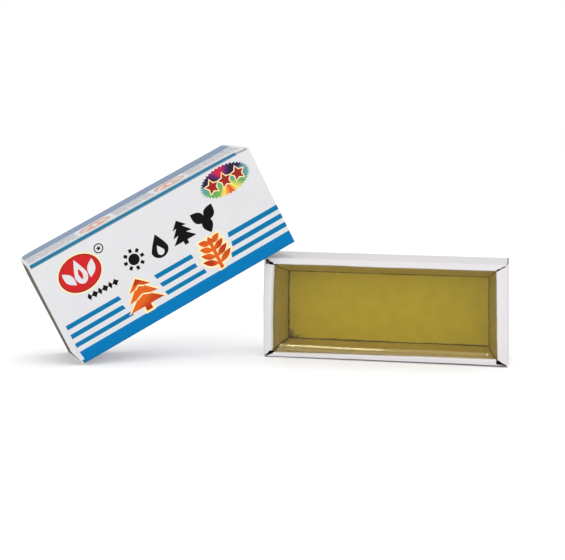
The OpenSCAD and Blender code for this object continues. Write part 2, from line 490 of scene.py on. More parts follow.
def folded_wall(side, cut_a, cut_b, gap_a, gap_b, bow, lift, seed):
    """One wall of the tray: a single strip of board with its visible skin, its bare back and cut edges.

    Each end of its rim has a cut and a gap, as in end_cut. The outer panel is pushed in by bow at its
    middle, and its front fold rises by lift towards the far end.
    """
    length, first, last_side, place = SIDES[side]
    profile, region = wall_profile(side)
    panel_start = 0.0 if side in ("left", "right") else BOARD
    start_a = end_cut(profile, region, panel_start, side, first, cut_a, gap_a, seed)
    start_b = end_cut(profile, region, panel_start, side, last_side, cut_b, gap_b, seed + 1)
    columns = graded(length, 0.1 * MM, 1.35, 1.6 * MM) / length
    depth = TRAY.back - TRAY.front
    foot_y = profile[-1][0]
    skins, stain_and_shade, seam = ([], []), [], []
    for row, (y, s, ny, ns) in enumerate(profile):
        free_length = length - start_a[row] - start_b[row]
        t = start_a[row] + free_length * columns
        along = t / length
        into = (y - TRAY.front) / depth
        near_rim = math.exp(-((y - TRAY.front) / (2.2 * MM)) ** 2)
        lined = region[row] in ("bend", "lining")
        inside = 1.0 if s > 0.6 * RIMS[side] else 0.0
        free = np.sqrt(np.clip(np.sin(math.pi * along), 0, 1))
        ds = (1 - inside) * bow * np.sin(math.pi * along) * math.sin(math.pi * min(into + 0.12, 1))
        ds = ds + inside * near_rim * 0.13 * MM * wave(along, seed + 2) * free
        ds = ds + TAPERS[side] * (along - 0.5) * np.clip(s / RIMS[side], 0, 1) * near_rim
        ds = ds + (1 - inside) * near_rim * 0.05 * MM * (1 + wave(along, seed + 3, (2, 3, 5, 9)))
        ds = ds + lift * np.clip(along, 0, 1) ** 0.7 * max(1 - into, 0) * min(max(1 - s / RIMS[side], 0), 1)
        dy = near_rim * 0.045 * MM * (1 + wave(along, seed + 4, (1, 2, 4, 7)))
        for skin, offset in zip(skins, (0.0, BOARD)):
            x, y3, z = place(t, y + dy - ny * offset, s + ds - ns * offset)
            skin.append(np.stack(np.broadcast_arrays(x, y3, z), -1))
        # the distance from the fold, which sets the lining's stain and its band of painted shade
        stain_and_shade.append(np.full(len(t), min((y - TRAY.front) / STAIN_AND_SHADE_SPANS[side], 1.0) if lined else 0.0))
        # the dark joint lines along the lining's ends and foot: rosin with painted shade for the crevices
        dark = np.zeros(len(t))
        if lined:
            ends = np.minimum(t - start_a[row], length - start_b[row] - t)
            knot = spot(x, z, (TRAY.x0, TRAY.z0), (KNOT, KNOT))
            wet = smoothstep(y, TRAY.front + 0.3 * MM, TRAY.front + 1.2 * MM)
            foot = joint_dark(foot_y - y, seed + 5, along, 1.6 * (1 + 2.4 * knot))
            dark = np.maximum(joint_dark(ends, seed + 6, into, 0.8 * (1 + 1.6 * knot)) * wet, foot)
        seam.append(dark)
    verts = swayed(np.concatenate([np.array(skin).reshape(-1, 3) for skin in skins]))
    row_slots = [2 if part in ("bend", "lining") else 0 for part in region[1:]]
    # the foot of the lower wall's front fold gets the painted contact shadow
    if side == "lower":
        for i, part in enumerate(region[:-1]):
            if part == "fold" and profile[i + 1][1] < CONTACT_SHADOW_RISE:
                row_slots[i] = 3
    outer_slots = np.repeat(row_slots, len(columns) - 1).tolist()
    faces, slots = sheet_faces(len(columns), len(profile), outer_slots, 1, 1)
    # the lower wall's lining takes the lighter copy, which is painted light
    inside = "lit_lower_lining" if side == "lower" else "lining"
    materials = [MATERIALS[key] for key in ("white", "core", inside, "painted_contact_shadow")]
    replaced = [f"tray_{side}_{part}" for part in ("wall", "rim", "lining")]
    piece = new_piece(f"tray_{side}_folded_wall", verts, faces, materials, slots,
                      "tray", replaced)
    set_attribute(piece, "stain_and_shade", np.tile(np.concatenate(stain_and_shade), 2))
    set_attribute(piece, "seam", np.tile(np.concatenate(seam), 2))
    return piece


def lines_through(low, high, marks):
    """Grid lines from low to high, with extra ones close to each mark."""
    extra = [mark + 0.7 * MM * k / 4 for mark in marks for k in range(-4, 5)]
    return np.array(sorted(set(np.round(np.concatenate([np.linspace(low, high, 33), extra]), 7))))


def tray_floor():
    """The tray's back panel: white outside, stained inside, with fine cockling from the hot rosin."""
    x0, x1 = TRAY.x0 + BACK_R, TRAY.x1 - BACK_R
    z0, z1 = TRAY.z0 + BACK_R, TRAY.z1 - BACK_R
    foot = {side: lining_inset(side, TRAY.back - BOARD) for side in LEANS}
    left, right = TRAY.x0 + foot["left"], TRAY.x1 - foot["right"]
    low, high = TRAY.z0 + foot["lower"], TRAY.z1 - foot["upper"]
    xs, zs = lines_through(x0, x1, (left, right)), lines_through(z0, z1, (low, high))
    n, m = len(xs), len(zs)
    x, z = np.meshgrid(xs, zs)
    u, v = np.clip((x - x0) / (x1 - x0), 0, 1), np.clip((z - z0) / (z1 - z0), 0, 1)
    hold = np.sqrt(np.clip(np.sin(math.pi * u) * np.sin(math.pi * v), 0, 1))
    cockle = hold * COCKLE * (wave(u, 501, (1, 2, 3)) + wave(v + 0.3 * u, 502, (1, 2)))
    back = TRAY.back - np.abs(cockle)
    outer = np.stack([x, back, z], -1).reshape(-1, 3)
    inner = np.stack([x, back - BOARD, z], -1).reshape(-1, 3)
    faces, slots = sheet_faces(n, m, [0] * ((n - 1) * (m - 1)), 2, 1)
    faces = [face[::-1] for face in faces]
    piece = new_piece("tray_floor_panel", swayed(np.concatenate([outer, inner])), faces,
                      [MATERIALS["white"], MATERIALS["core"], MATERIALS["floor"]], slots,
                      "tray", ["tray_floor"])
    # dark lines round the floor's edges: rosin in the joints, with painted shade for the crevices
    near = np.minimum(np.minimum(x - left, right - x), np.minimum(z - low, high - z))
    dark = joint_dark(near, 503, u + v, 1.2 + 4.5 * spot(x, z, (left, low), (CLOT, CLOT)))
    set_attribute(piece, "stain_and_shade", np.ones(len(piece.data.vertices)))
    set_attribute(piece, "seam", np.tile(dark.reshape(-1), 2))
    return piece


# ---- the rosin
ROSIN_BITE = 0.22 * MM     # how far the rosin's sides reach into the board that it has soaked into
MENISCUS_RISE = 1.2 * MM   # how far it climbs at the walls above its flat middle
MENISCUS_REACH = 1.15 * MM  # how fast the climb dies away from the walls
WRINKLE = 0.2 * MM         # the height of the wrinkles near the lower left corner
GLINT = 0.15 * MM          # and of those at the glint near the lower right one


def rosin_cake():
    """The cast block: a tapered body whose open face climbs the lining in a curved meniscus."""
    low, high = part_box("rosin_cake")
    contact = low.y - 0.1 * MM
    floor_y = high.y + 0.1 * MM

    def limits(y):
        """The block's left, right, lower and upper limits at depth y."""
        inset = {side: lining_inset(side, y) - ROSIN_BITE for side in LEANS}
        return (TRAY.x0 + inset["left"], TRAY.x1 - inset["right"],
                TRAY.z0 + inset["lower"], TRAY.z1 - inset["upper"])

    left, right, bottom, top = limits(contact)
    xs = left + graded(right - left, 0.08 * MM, 1.3, 0.9 * MM)
    zs = bottom + graded(top - bottom, 0.08 * MM, 1.3, 0.6 * MM)
    n, m = len(xs), len(zs)
    x, z = np.meshgrid(xs, zs)
    u, v = (x - left) / (right - left), (z - bottom) / (top - bottom)
    wall_x, wall_z = np.minimum(x - left, right - x), np.minimum(z - bottom, top - z)
    climb = np.exp(-wall_x / MENISCUS_REACH) + np.exp(-wall_z / MENISCUS_REACH)
    climb = np.minimum(climb, 1.0 + 0.1 * (climb - 1.0))
    y = contact + MENISCUS_RISE * (1 - climb)
    shrink = wave(u, 301, (1, 2)) * wave(v, 302, (1, 2))
    y = y + 0.05 * MM * shrink * np.clip(wall_z / (4 * MM), 0, 1) * np.clip(wall_x / (4 * MM), 0, 1)
    corner = spot(x, z, (left + 2.2 * MM, bottom + 2.0 * MM), (2.0 * MM, 1.6 * MM))
    wrinkle = np.sin(x / (0.36 * MM) + 2.1 * np.sin(z / (0.5 * MM))) * np.sin(z / (0.42 * MM) + 1.1)
    y = y + corner * WRINKLE * wrinkle
    glint = spot(x, z, (right - 2.6 * MM, bottom + 1.3 * MM), (1.5 * MM, 0.8 * MM))
    y = y + glint * GLINT * np.sin((x + z) / (0.33 * MM)) * np.cos((z - 0.6 * x) / (0.4 * MM))
    front = np.stack([x, y, z], -1).reshape(-1, 3)
    faces, border = grid_faces(n, m)
    rings, verts = [border], [front]
    count = n * m
    for share in (0.25, 0.5, 0.75, 1.0):
        ring = []
        for k in border:
            px, py, pz = front[k]
            yy = py + (floor_y - py) * share
            x0, x1, z0, z1 = limits(yy)
            ring.append((x0 + (x1 - x0) * (px - left) / (right - left), yy,
                         z0 + (z1 - z0) * (pz - bottom) / (top - bottom)))
        verts.append(np.array(ring))
        rings.append(list(range(count, count + len(border))))
        count += len(border)
    for upper, lower in zip(rings, rings[1:]):
        for k in range(len(border)):
            k2 = (k + 1) % len(border)
            faces.append((upper[k2], upper[k], lower[k], lower[k2]))
    faces.append(tuple(reversed(rings[-1])))
    return new_piece("rosin_cast_cake", swayed(np.concatenate(verts)), faces, [MATERIALS["rosin"]],
                     [0] * len(faces), "tray", ["rosin_cake"])


# ---- the corner tabs
def corner_tab(name, proud, curl, seed):
    """A glued corner tab of bare board inside an end wall, its front edge split into two curled plies."""
    low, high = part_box(name)
    inward = 1 if "_left_" in name else -1
    start, end = low.z, high.z
    columns = graded(end - start, 0.3 * MM, 1.3, 1.2 * MM) + start
    rows = graded(high.y - low.y + proud, 0.15 * MM, 1.5, 2.5 * MM)
    c, d = np.meshgrid(columns, rows)
    t, split = (c - start) / (end - start), np.exp(-d / (0.8 * MM))
    quads, _ = sheet_faces(len(columns), len(rows), [], 0, 0)
    verts, faces = [], []
    for ply in (-1, 1):
        faces += [tuple(k + sum(map(len, verts)) for k in quad) for quad in quads]
        bend = (0.55 + 0.45 * wave(t, seed + ply, (2, 3, 5))) * split
        shift = inward * (ply * 0.1 * MM + (curl if ply > 0 else 0.1 * curl) * bend)
        ragged = 0.22 * MM * split * wave(t, seed + 3 * ply, (3, 7, 12))
        for skin in (-0.1 * MM, 0.1 * MM):
            x = (low.x + high.x) / 2 + shift + skin
            verts.append(np.stack([x, low.y - proud + d + ragged, c], -1).reshape(-1, 3))
    return new_piece(name.replace("_tab", "_split_tab"), swayed(np.concatenate(verts)), faces,
                     [MATERIALS["core"]], [0] * len(faces), "tray", [name])


# ---- the sleeve's blank and its print
SLEEVE_R = 0.55 * MM       # the outer radius of each crease
GLUE = 0.1 * MM            # between the flap and the back panel
FREE_EDGE = 0.12 * MM      # between the back panel's free edge and the bottom crease
FLAP_W = 10 * MM           # how far the flap reaches up inside the back panel
FLAP_SHORT = 2 * MM        # how far it stops short of each end of the sleeve
INKS = ("paper", *INK_COLOURS, "burst", "burst_back")

# How far each corner of the worn sleeve lies from a true box, along it and up, in mm.
# The key says whether the corner is at the right, at the back and at the top.
WORN = {
    (0, 0, 0): (-0.75, 0.0), (1, 0, 0): (0.0, 0.1), (0, 1, 0): (0.0, -0.1), (1, 1, 0): (0.0, 0.0),
    (0, 0, 1): (0.5, 0.1), (1, 0, 1): (0.4, 0.2), (0, 1, 1): (0.9, 0.5), (1, 1, 1): (-0.3, 0.8),
}
CRUSH = 1.8 * MM           # how far the foot's front corner is pushed in along the sleeve
CRUSH_HEIGHT = 5.3 * MM    # the height above the foot at which that push ends
SKEW = math.tan(math.radians(0.25))   # the print lies a little askew on the blank


def sleeve_segments():
    """The outer skin's cross-section as (kind, data, start, length), from the back panel's free edge on."""
    d, h, r = SLEEVE_D, SLEEVE_H, SLEEVE_R
    flap = d - BOARD - GLUE
    parts = [
        ("line", (d, FREE_EDGE), (d, h - r), (1, 0)),
        ("arc", (d - r, h - r), 0),
        ("line", (d - r, h), (r, h), (0, 1)),
        ("arc", (r, h - r), 90),
        ("line", (0, h - r), (0, r), (-1, 0)),
        ("arc", (r, r), 180),
        ("line", (r, 0), (flap - r, 0), (0, -1)),
        ("arc", (flap - r, r), 270),
        ("line", (flap, r), (flap, r + FLAP_W), (1, 0)),
    ]
    rows, at = [], 0.0
    for part in parts:
        span = math.dist(part[1], part[2]) if part[0] == "line" else math.pi / 2 * r
        rows.append((part, at, span))
        at += span
    return rows, at


SEGMENTS, BLANK_W = sleeve_segments()
BACK, TOP, FRONT, BOTTOM, FLAP = 0, 2, 4, 6, 8


def panel_centre(index):
    """The middle of the panel with this number, along the blank."""
    _, start, span = SEGMENTS[index]
    return start + span / 2


def section(v):
    """(across, up) and normal of the outer skin at distances v along the blank."""
    place, normal = np.zeros((len(v), 2)), np.zeros((len(v), 2))
    for part, start, span in SEGMENTS:
        here = (v >= start - 1e-9) & (v <= start + span + 1e-9)
        t = np.clip((v[here] - start) / span, 0, 1)[:, None]
        if part[0] == "line":
            a, b = np.array(part[1]), np.array(part[2])
            place[here] = a + (b - a) * t
            normal[here] = part[3]
        else:
            angle = np.radians(part[2] + 90 * t[:, 0])
            n = np.stack([np.cos(angle), np.sin(angle)], -1)
            place[here] = np.array(part[1]) + SLEEVE_R * n
            normal[here] = n
    return place, normal


def panel_share(v, index):
    """0 outside one panel and 1 at its middle, smoothly."""
    _, start, span = SEGMENTS[index]
    return np.sin(math.pi * np.clip((v - start) / span, 0, 1))


def worn_shift(u, across, up):
    """How the worn sleeve's corners drift, blended over the whole box: along it and up."""
    p, q, r = (np.clip(x / size, 0, 1) for x, size in ((u, SLEEVE_L), (across, SLEEVE_D), (up, SLEEVE_H)))
    along, rise = 0.0, 0.0
    for (right, back, top), (a, b) in WORN.items():
        weight = (p if right else 1 - p) * (q if back else 1 - q) * (r if top else 1 - r)
        along, rise = along + a * MM * weight, rise + b * MM * weight
    return along, rise


def sleeve_shape(u, v, offset):
    """World points of the sleeve's board, at u along it and v round it, offset inward from its outer skin."""
    place, normal = section(v)
    along = u / SLEEVE_L
    ends = 4 * (along - 0.5) ** 2
    front, top = panel_share(v, FRONT), panel_share(v, TOP)
    push = -0.12 * MM * front * (1 - 0.6 * ends) - 0.1 * MM * panel_share(v, BACK)
    push = push - 0.08 * MM * top * (0.7 + 0.3 * wave(along, 71, (1, 2))) - 0.1 * MM * panel_share(v, BOTTOM)
    push = push + 0.03 * MM * wave(along, 72, (2, 3, 5)) * (front + top - 0.5)
    # The front panel's left edge is rolled in, with a fine crease beside it.
    push = push - 0.3 * MM * np.exp(-(u / (1.1 * MM)) ** 2) * front ** 0.4
    push = push - 0.1 * MM * np.exp(-((u - 1.35 * MM) / (0.22 * MM)) ** 2) * front ** 0.3
    across = place[:, 0] + normal[:, 0] * (push - offset)
    up = place[:, 1] + normal[:, 1] * (push - offset)
    drift, rise = worn_shift(u, across, up)
    # Three corners are crushed: the foot, the front of the raised end's top, and the back of the heel's top.
    foot = np.clip(1 - up / CRUSH_HEIGHT, 0, 1) ** 1.15 * np.clip(1 - across / SLEEVE_D, 0, 1)
    foot = foot * np.exp(-u / (2.4 * MM))
    lid = np.exp(-(SLEEVE_L - u) / (4.5 * MM)) * smoothstep(up, SLEEVE_H - 9 * MM, SLEEVE_H)
    lid = lid * np.clip(1 - across / SLEEVE_D, 0, 1)
    heel = np.exp(-u / (1.2 * MM) - (SLEEVE_D - across) / (1.8 * MM) - (SLEEVE_H - up) / (1.8 * MM))
    heel = np.where((across > SLEEVE_D / 2) & (up > SLEEVE_H / 2), heel, 0)
    slide = u + drift + CRUSH * foot + 0.9 * MM * heel
    across = across + 0.45 * MM * foot
    up = up + rise + 0.05 * MM * foot - 0.65 * MM * lid - 0.5 * MM * heel
    flap_depth = smoothstep(v, SEGMENTS[BOTTOM + 1][1], SEGMENTS[FLAP][1])
    slide = slide + flap_depth * (SLEEVE_L / 2 - u) * (2 * FLAP_SHORT / SLEEVE_L)
    local = np.stack([slide, across, up], -1)
    return SLEEVE_ORIGIN + local @ SLEEVE_AXES


def sleeve_normals(u, v, offset):
    """Unit normals of sleeve_shape, from its slopes along and round the sleeve."""
    step = 0.02 * MM
    u0, u1 = np.clip(u - step, 0, SLEEVE_L), np.clip(u + step, 0, SLEEVE_L)
    v0, v1 = np.clip(v - step, 0, BLANK_W), np.clip(v + step, 0, BLANK_W)
    n = np.cross(sleeve_shape(u1, v, offset) - sleeve_shape(u0, v, offset),
                 sleeve_shape(u, v1, offset) - sleeve_shape(u, v0, offset))
    return n / np.linalg.norm(n, axis=1, keepdims=True)


# Print shapes are drawn in millimetres on a panel: x along the sleeve, y up across the panel from its middle.
def rectangle(x0, x1, y0, y1, slant0=0.0, slant1=0.0):
    """A rectangle whose lower corners may be shifted, each by its own slant."""
    return [(x0 + slant0, y0), (x1 + slant1, y0), (x1, y1), (x0, y1)]


def oval(cx, cy, rx, ry, count=40, tooth=0.0):
    """An oval of this many points. With a tooth, every second point stands out and it is serrated."""
    shape = []
    for i in range(count):
        a, grow = math.tau * i / count, 1 + (tooth if i % 2 == 0 else 0)
        shape.append((cx + rx * grow * math.cos(a), cy + ry * grow * math.sin(a)))
    return shape


def bar(x0, y0, x1, y1, width):
    """A straight stroke of this width."""
    length = math.hypot(x1 - x0, y1 - y0)
    nx, ny = -(y1 - y0) / length * width / 2, (x1 - x0) / length * width / 2
    return [(x0 + nx, y0 + ny), (x0 - nx, y0 - ny), (x1 - nx, y1 - ny), (x1 + nx, y1 + ny)]


def pine(cx, cy, w, h, grow=0.0):
    """A conifer: three tiers of branches over a trunk."""
    side = [(0.0, 0.5)]
    for half, low, notch in ((0.31, 0.19, 0.13), (0.42, -0.09, 0.18), (0.5, -0.35, 0.09)):
        side += [(half, low), (notch, low + (0.03 if notch > 0.1 else 0.0))]
    side.append((0.09, -0.5))
    outline = [(cx + x * w + (grow if x > 0.01 else 0), cy + y * h + (grow if y > 0.45 else 0))
               for x, y in side]
    outline[-1] = (outline[-1][0], outline[-1][1] - grow)
    return outline + [(2 * cx - x, y) for x, y in reversed(outline[1:])]


def drop(cx, cy, w, h, lean=0.0):
    """A droplet with a point at the top."""
    shape = []
    for i in range(32):
        a = -math.pi / 2 + math.tau * i / 32
        x, y = math.cos(a), math.sin(a)
        narrow = 1.0 if y < 0 else (1 - y) ** 0.62
        tall = y if y < 0 else y * 1.9
        shape.append((cx + x * narrow * w / 2 + lean * max(y, 0) * w, cy + (tall - 0.45) * h / 2.9))
    return shape


def star(cx, cy, r, points=5, inner=0.45):
    """A star with its first point at the top. With two points it is a diamond."""
    shape = []
    for i in range(points * 2):
        reach, a = r * (1 if i % 2 == 0 else inner), math.pi / 2 + math.pi * i / points
        shape.append((cx + reach * math.cos(a), cy + reach * math.sin(a)))
    return shape


def leaf(cx, cy, length, width, degrees):
    """A pointed leaf along a direction."""
    c, s = math.cos(math.radians(degrees)), math.sin(math.radians(degrees))
    side = [(i / 12 - 0.5, math.sin(math.pi * i / 12) * 0.5) for i in range(12)]
    outline = side + [(-x, -y) for x, y in side]
    return [(cx + length * x * c - width * y * s, cy + length * x * s + width * y * c) for x, y in outline]


def pine_icon(cx, cy, w, h):
    """A large tree in two layers, with pale strokes between its tiers."""
    shapes = [("cream", pine(cx, cy, w, h, 0.65)), ("orange", pine(cx, cy, w, h))]
    for level, half in ((0.2, 0.13), (-0.08, 0.2)):
        for turn in (-1, 1):
            stroke = bar(cx, cy + (level + 0.09) * h, cx + turn * half * w, cy + level * h, 0.42)
            shapes.append(("cream", stroke))
    return shapes


def sprig_icon(cx, cy, w, h):
    """A large sprig: a stem with four pairs of needles and a tip."""
    parts = [bar(cx, cy - h / 2, cx, cy + 0.3 * h, 1.15), leaf(cx, cy + 0.36 * h, 0.32 * h, 1.7, 90)]
    pale = [bar(cx, cy - h / 2 - 0.5, cx, cy + 0.3 * h, 2.3), leaf(cx, cy + 0.36 * h, 0.44 * h, 2.9, 90)]
    for i in range(4):
        level = cy - 0.34 * h + i * 0.2 * h
        length = (0.56 - 0.05 * i) * w
        for turn in (-1, 1):
            x, y, degrees = cx + turn * length * 0.46, level + 0.12 * h, 90 - turn * 62
            parts.append(leaf(x, y, length, 1.9, degrees))
            pale.append(leaf(x, y, length + 1.5, 3.1, degrees))
    return [("cream", s) for s in pale] + [("orange", s) for s in parts]


HALF = SLEEVE_H / MM / 2
SIDE_HALF = SLEEVE_D / MM / 2
END = SLEEVE_L / MM


def front_print():
    """(ink, outline) pairs for the front panel, from the lowest layer up."""
    shapes = [("blue", rectangle(-1, END + 1, -HALF - 1.5, -HALF + 3.85))]
    # Each stripe's lower and upper edges, and the ends of its three runs beside the two orange pictures.
    rows = ((5.35, 6.65, 21.1, 33.0, 46.9, 56.5), (8.3, 9.65, 19.8, 32.7, 45.1, 58.1),
            (11.3, 12.65, 19.9, 32.2, 45.2, 58.3))
    for low, high, left_end, mid_start, mid_end, right_start in rows:
        runs = ((-1, left_end, 0.08, 0, 0.5), (mid_start, mid_end, 0.08, 0.45, 0.3),
                (right_start, END + 1, 0.2, -0.3, 0))
        for x0, x1, grow, slant0, slant1 in runs:
            shapes.append(("stripe", rectangle(x0, x1, -HALF + low, -HALF + high + grow, slant0, slant1)))
    shapes += pine_icon(26.7, -HALF + 9.5, 11.6, 10.4)
    shapes += sprig_icon(52.2, -HALF + 9.4, 9.8, 10.4)
    shapes += badge(12.9, -HALF + 24.4)
    shapes += pictograms(29.1, -HALF + 20.0)
    shapes += starburst(*BURST)
    return shapes


def badge(cx, cy):
    """A red oval seal with a droplet between two leaves, a small ring beside it and marks below."""
    ovals = (("cream", 7.1, 5.8), ("maroon", 6.75, 5.45), ("red", 6.35, 5.05))
    shapes = [(ink, oval(cx, cy, rx, ry)) for ink, rx, ry in ovals]
    shapes.append(("paper", drop(cx, cy + 0.6, 4.0, 7.8)))
    for turn in (-1, 1):
        shapes.append(("paper", leaf(cx + turn * 3.7, cy - 0.2, 5.6, 2.5, 90 - turn * 28)))
    shapes.append(("red", leaf(cx, cy - 0.3, 3.6, 1.2, 90)))
    shapes += [("black", oval(cx + 8.2, cy + 3.8, 1.5, 1.5)), ("paper", oval(cx + 8.2, cy + 3.8, 1.16, 1.16))]
    shapes.append(("black", star(cx + 8.2, cy + 3.8, 0.85)))
    for i in range(6):
        shapes.append(("black", star(cx - 0.6 + i * 1.75, cy - 7.6, 1.15, 2 + i % 2 * 2, 0.62)))
    return shapes


def pictograms(x, y):
    """Four plain black pictures in a row: sun, flame, pine and leaves."""
    pitch = 8.3
    shapes = [("black", oval(x, y, 1.75, 1.75))]
    for i in range(8):
        c, s = math.cos(math.tau * i / 8), math.sin(math.tau * i / 8)
        shapes.append(("black", bar(x + 2.2 * c, y + 2.2 * s, x + 3.35 * c, y + 3.35 * s, 1.0)))
    shapes.append(("black", drop(x + pitch, y - 0.1, 5.6, 7.4, 0.12)))
    shapes.append(("paper", drop(x + pitch + 0.1, y - 1.4, 2.2, 3.3, -0.15)))
    shapes.append(("black", pine(x + 2 * pitch, y, 7.8, 7.9)))
    for degrees, cx, cy in ((48, 1.6, 1.0), (132, -1.6, 1.0), (90, 0, -1.5)):
        shapes.append(("black", leaf(x + 3 * pitch + 1.15 * cx, y + 1.15 * cy, 5.7, 3.5, degrees)))
    return shapes


BURST = (64.9, -HALF + 27.4)
BURST_SIZE = (7.7, 4.15)


def starburst(cx, cy):
    """A serrated rainbow oval with three stars."""
    shapes = [("burst", oval(cx, cy, *BURST_SIZE, 80, 0.12))]
    for i in range(3):
        x = cx + (i - 1) * 4.5
        shapes += [("cream", star(x, cy, 2.75, inner=0.55)), ("maroon", star(x, cy, 2.25, inner=0.5))]
    return shapes


def side_print():
    """The narrow panels: a broad band at the back in a paler blue that paints the print's grazing reflection,
    rows of broken rules round two small pictures, and a narrow teal band that runs over the front fold, with
    the paler blue along its edge as its painted reflection.
    """
    # the paler blue bands paint the grazing reflection on the blue print
    bands = (("painted_sheen_blue", -1, END + 1, -SIDE_HALF - 0.2, -SIDE_HALF + 9.8),
             ("rule", -1, END - 2.6, -SIDE_HALF - 0.2, -SIDE_HALF + 0.35),
             ("painted_sheen_blue", -1, END - 4.4, SIDE_HALF - 2.2, SIDE_HALF + 0.75),
             ("teal", -1, END - 4.4, SIDE_HALF - 1.2, SIDE_HALF + 0.5),
             ("rule", END - 4.4, END + 1, SIDE_HALF - 0.6, SIDE_HALF + 0.6))
    shapes = [(ink, rectangle(*box)) for ink, *box in bands]
    rng = random.Random(88)
    for x0, x1 in ((1.0, 18.0), (31.0, 44.5), (57.0, END - 1.2)):
        for i in range(6):
            x, base = x0, -SIDE_HALF + 10.8 + i * 1.75
            while x < x1:
                dash = rng.uniform(3.0, 7.0)
                shapes.append(("rule", rectangle(x, min(x + dash, x1), base, base + 0.95)))
                x += dash + 0.3
    for cx in (24.4, 50.8):
        shapes.append(("salmon", oval(cx, 3.4, 5.4, 4.9)))
        for turn in (-1, 0, 1):
            shapes.append(("paper", leaf(cx + turn * 2.7, 3.2 - 0.5 * abs(turn), 6.6, 1.9, 90 - turn * 32)))
        shapes.append(("orange", bar(cx - 4.4, 0.6, cx + 4.4, 0.6, 0.7)))
    return shapes


def on_blank(shape, middle, flip):
    """A panel's outline in metres on the blank, where y runs against v unless flipped, and print is askew."""
    return [(x * MM, middle + (y if flip else -y) * MM - SKEW * x * MM) for x, y in shape]


def clip_to(shape, x0, x1, y0, y1):
    """Keeps an outline inside a rectangle."""
    for axis, limit, keep in ((0, x0, 1), (0, x1, -1), (1, y0, 1), (1, y1, -1)):
        result = []
        for a, b in zip(shape, shape[1:] + shape[:1]):
            inside_a, inside_b = (a[axis] - limit) * keep >= 0, (b[axis] - limit) * keep >= 0
            if inside_a:
                result.append(a)
            if inside_a != inside_b:
                t = (limit - a[axis]) / (b[axis] - a[axis])
                result.append((a[0] + (b[0] - a[0]) * t, a[1] + (b[1] - a[1]) * t))
        shape = result
    return shape


def turned_left(shape):
    """The same outline, listed anticlockwise."""
    area = sum(a[0] * b[1] - b[0] * a[1] for a, b in zip(shape, shape[1:] + shape[:1]))
    return shape if area > 0 else shape[::-1]


WIDE_MARGIN, SIDE_MARGIN = 2.0 * MM, 0.7 * MM


def blank_print():
    """Every inked outline on the blank, clipped to the printed area, in drawing order."""
    front, side = front_print(), side_print()
    turned = [("burst_back" if ink == "burst" else ink, [(END - x, y) for x, y in s]) for ink, s in front]
    layers = [
        (side, TOP, True, SIDE_MARGIN, SLEEVE_L - SIDE_MARGIN),
        (side, BOTTOM, False, SIDE_MARGIN, SLEEVE_L - SIDE_MARGIN),
        (front, FRONT, False, WIDE_MARGIN, SLEEVE_L),
        (turned, BACK, True, 0.0, SLEEVE_L - WIDE_MARGIN),
    ]
    shapes = []
    for pairs, panel, flip, start, end in layers:
        for ink, outline in pairs:
            clipped = clip_to(on_blank(outline, panel_centre(panel), flip), start, end, 0, BLANK_W)
            if len(clipped) > 2:
                shapes.append((ink, turned_left(clipped)))
    return shapes


def blank_lines():
    """Distances round the blank at which the mesh has a line of points: fine over the creases."""
    lines = set()
    for part, start, span in SEGMENTS:
        count = 8 if part[0] == "arc" else max(int(span / (1.6 * MM)), 4)
        for i in range(count + 1):
            lines.add(round(start + span * i / count, 9))
    return sorted(lines)


def blank_mesh():
    """The flat blank cut into triangles along its print: points (u, v), triangles, and each one's ink."""
    shapes = blank_print()
    points = [(0.0, 0.0), (SLEEVE_L, 0.0), (SLEEVE_L, BLANK_W), (0.0, BLANK_W)]
    outlines = [(0, 1, 2, 3)]
    columns = graded(SLEEVE_L, 0.2 * MM, 1.12, 1.6 * MM)
    for v in blank_lines():
        points += [(u, v) for u in columns]
    for _, s in shapes:
        outlines.append(tuple(range(len(points), len(points) + len(s))))
        points += s
    scaled = [Vector((x / MM, y / MM)) for x, y in points]
    verts, _, tris, _, _, origin = delaunay_2d_cdt(scaled, [], outlines, 1, 1e-5)
    flat = np.array([tuple(p) for p in verts]) * MM
    kept, inks = [], []
    for tri, covers in zip(tris, origin):
        if not covers:
            continue
        a, b, c = (flat[k] for k in tri)
        if abs((b[0] - a[0]) * (c[1] - a[1]) - (c[0] - a[0]) * (b[1] - a[1])) < 1e-14:
            continue
        top = max(covers)
        kept.append(tuple(tri))
        inks.append(0 if top == 0 else INKS.index(shapes[top - 1][0]))
    u, v = np.clip(flat[:, 0], 0, SLEEVE_L), np.clip(flat[:, 1], 0, BLANK_W)
    return u, v, kept, inks


